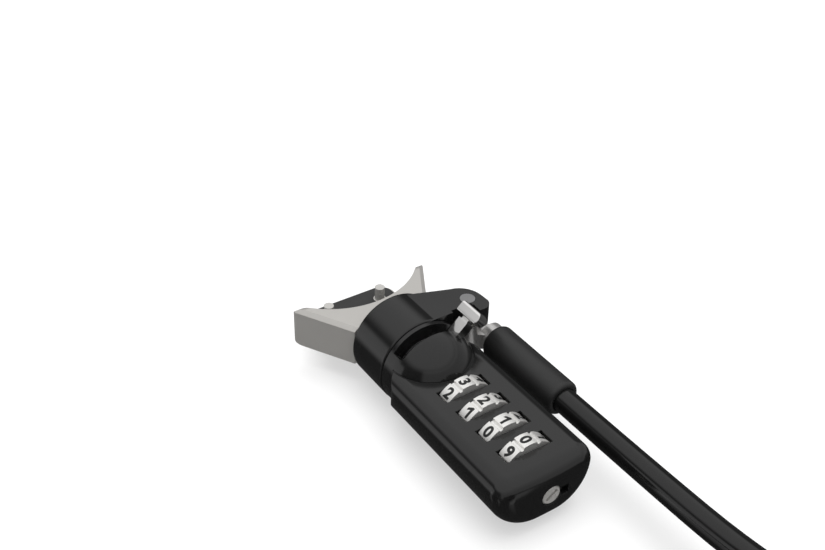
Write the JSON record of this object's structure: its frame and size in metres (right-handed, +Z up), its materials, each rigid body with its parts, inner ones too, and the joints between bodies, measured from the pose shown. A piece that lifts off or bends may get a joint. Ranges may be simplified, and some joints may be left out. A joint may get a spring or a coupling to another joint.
{
  "type": "laptop cable lock",
  "caption": "Combination lock with a T-bar thumb lever, swivelling collar, slot adapter bracket and a black steel security cable with an end loop.",
  "frame": {"origin": "on the floor, under the middle of the lock without its free cable", "axes": "+X along the barrel from the laptop towards the tail, +Y towards the side that carries the cable, +Z up through the dial windows"},
  "size_m": [0.1645, 0.0799, 0.0192],
  "materials": {
    "black_casting": "satin black powder coat with glossy turned areas",
    "chrome": "polished nickel-chrome plate",
    "steel": "plain turned steel",
    "dial_ring": "bright plated wheel with black digits",
    "code_ring": "plain brass",
    "adapter": "satin silver",
    "rubber": "matt rubber",
    "nylon": "dark nylon",
    "sleeve": "satin moulded sleeve",
    "cable_jacket": "glossy black jacket over steel rope",
    "crimp": "pressed aluminium"
  },
  "bodies": {
    "cable_end": {"cable_eye": "chrome", "cable_sleeve": "sleeve", "wire_core": "steel", "cable": "cable_jacket", "cable_coil": "cable_jacket", "cable_tail": "cable_jacket", "end_loop": "cable_jacket", "loop_crimp": "crimp"},
    "collar": {"collar": "black_casting", "swivel_washer": "nylon", "pivot_rivet": "steel", "pivot_washers": "nylon"},
    "lock_body": {"body_casting": "black_casting", "base_cover": "black_casting", "cover_screws": "steel", "detent_spring": "steel", "barrel_core": "steel", "guide_pins": "steel", "core_pin": "steel", "bolt_spring": "steel", "slot_adapter": "adapter", "adapter_pad": "rubber", "adapter_screws": "steel"},
    "lever": {"turning_spindle": "steel", "lever": "chrome", "lever_pin": "steel"},
    "bolt": {"code_bolt": "steel", "bolt_clip": "steel"},
    "reset": {"reset_screw": "steel", "reset_cam": "steel"},
    "dial_1": {"dial_1": "dial_ring", "code_ring_1": "code_ring"},
    "dial_2": {"dial_2": "dial_ring", "code_ring_2": "code_ring"},
    "dial_3": {"dial_3": "dial_ring", "code_ring_3": "code_ring"},
    "dial_4": {"dial_4": "dial_ring", "code_ring_4": "code_ring"}
  },
  "joints": [
    {"name": "cable_pivot", "type": "hinge", "parent": "cable_end", "child": "collar", "pos_m": [-0.00755, 0.00964, 0.009], "axis": [0, 0, 1], "range_deg": [-100, 0]},
    {"name": "barrel_turn", "type": "hinge", "parent": "collar", "child": "lock_body", "pos_m": [-0.01025, -0.00216, 0.009], "axis": [1, 0, 0], "range_deg": [0, 150]},
    {"name": "lever_turn", "type": "hinge", "parent": "lock_body", "child": "lever", "pos_m": [-0.0029, -0.00216, 0.009], "axis": [1, 0, 0], "range_deg": [0, 90]},
    {"name": "bolt_slide", "type": "slide", "parent": "lock_body", "child": "bolt", "axis": [-1, 0, 0], "range_m": [0, 0.001], "stiffness_N_per_m": 60},
    {"name": "reset_turn", "type": "hinge", "parent": "lock_body", "child": "reset", "pos_m": [0.03175, -0.00186, 0.007], "axis": [1, 0, 0], "range_deg": [0, 90]},
    {"name": "dial_1_turn", "type": "hinge", "parent": "lock_body", "child": "dial_1", "pos_m": [0.00835, -0.00216, 0.00805], "axis": [1, 0, 0], "continuous": true},
    {"name": "dial_2_turn", "type": "hinge", "parent": "lock_body", "child": "dial_2", "pos_m": [0.01415, -0.00216, 0.00805], "axis": [1, 0, 0], "continuous": true},
    {"name": "dial_3_turn", "type": "hinge", "parent": "lock_body", "child": "dial_3", "pos_m": [0.01995, -0.00216, 0.00805], "axis": [1, 0, 0], "continuous": true},
    {"name": "dial_4_turn", "type": "hinge", "parent": "lock_body", "child": "dial_4", "pos_m": [0.02575, -0.00216, 0.00805], "axis": [1, 0, 0], "continuous": true}
  ]
}
